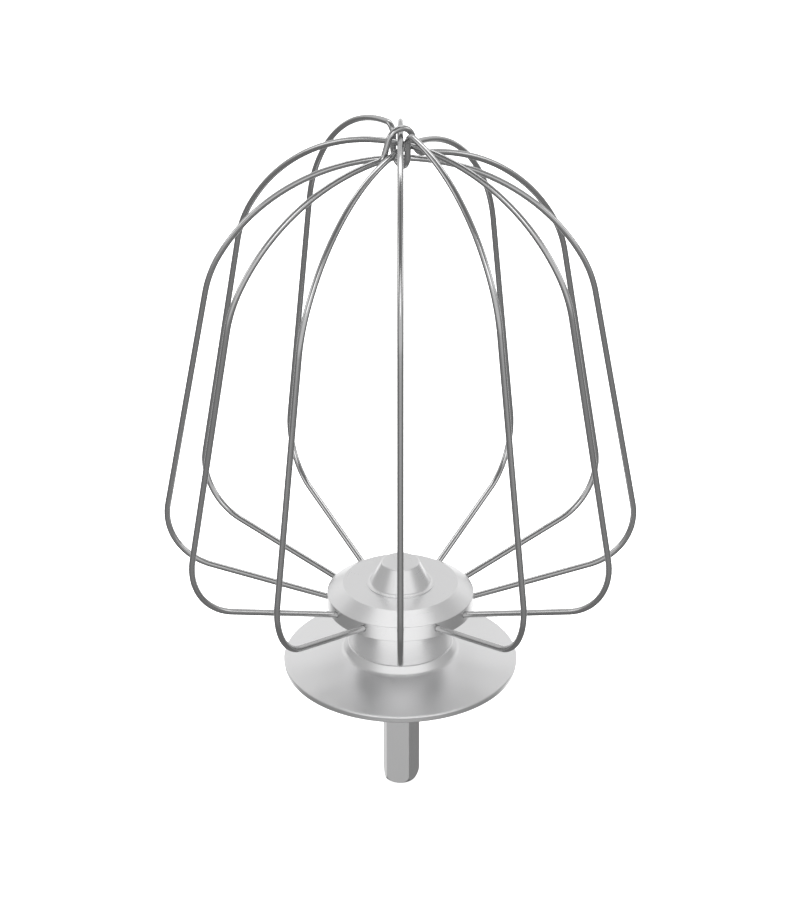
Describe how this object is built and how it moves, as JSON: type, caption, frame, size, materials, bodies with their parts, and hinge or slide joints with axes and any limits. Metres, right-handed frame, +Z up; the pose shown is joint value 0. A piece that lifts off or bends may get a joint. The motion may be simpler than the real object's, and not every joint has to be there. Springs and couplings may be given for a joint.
{
  "type": "stand mixer wire whip",
  "caption": "Balloon whip attachment for a stand mixer: crossed wire loops clamped in a bevelled hub above a splash disc, driven by a five-sided shaft.",
  "frame": {"origin": "on the drive shaft's axis, in the plane of the flange's underside, where the five-sided shank begins", "axes": "+Z up the shaft's axis towards the tip of the whip; the shank points down -Z; -Y is the side with a leg straight ahead and one flat of the shank turned 9.5 degrees towards -X"},
  "size_m": [0.1144, 0.1144, 0.1766],
  "materials": {
    "wire_steel": "bright drawn stainless wire",
    "hub_metal": "satin turned",
    "disc_metal": "satin turned",
    "shaft_steel": "drawn bar with satin flats",
    "fastener_steel": "plain stainless",
    "seal_rubber": "matt nitrile"
  },
  "bodies": {
    "root": {"wire_loop_1": "wire_steel", "wire_loop_2": "wire_steel", "wire_loop_3": "wire_steel", "wire_loop_4": "wire_steel", "wire_loop_5": "wire_steel", "wire_loop_6": "wire_steel", "hub_body": "hub_metal", "hub_cap": "hub_metal", "nut_cover": "hub_metal", "splash_disc": "disc_metal", "drive_shaft": "shaft_steel", "lock_nut": "fastener_steel", "flat_washer": "fastener_steel", "spring_washer": "fastener_steel", "neck_seal": "seal_rubber"}
  },
  "joints": []
}
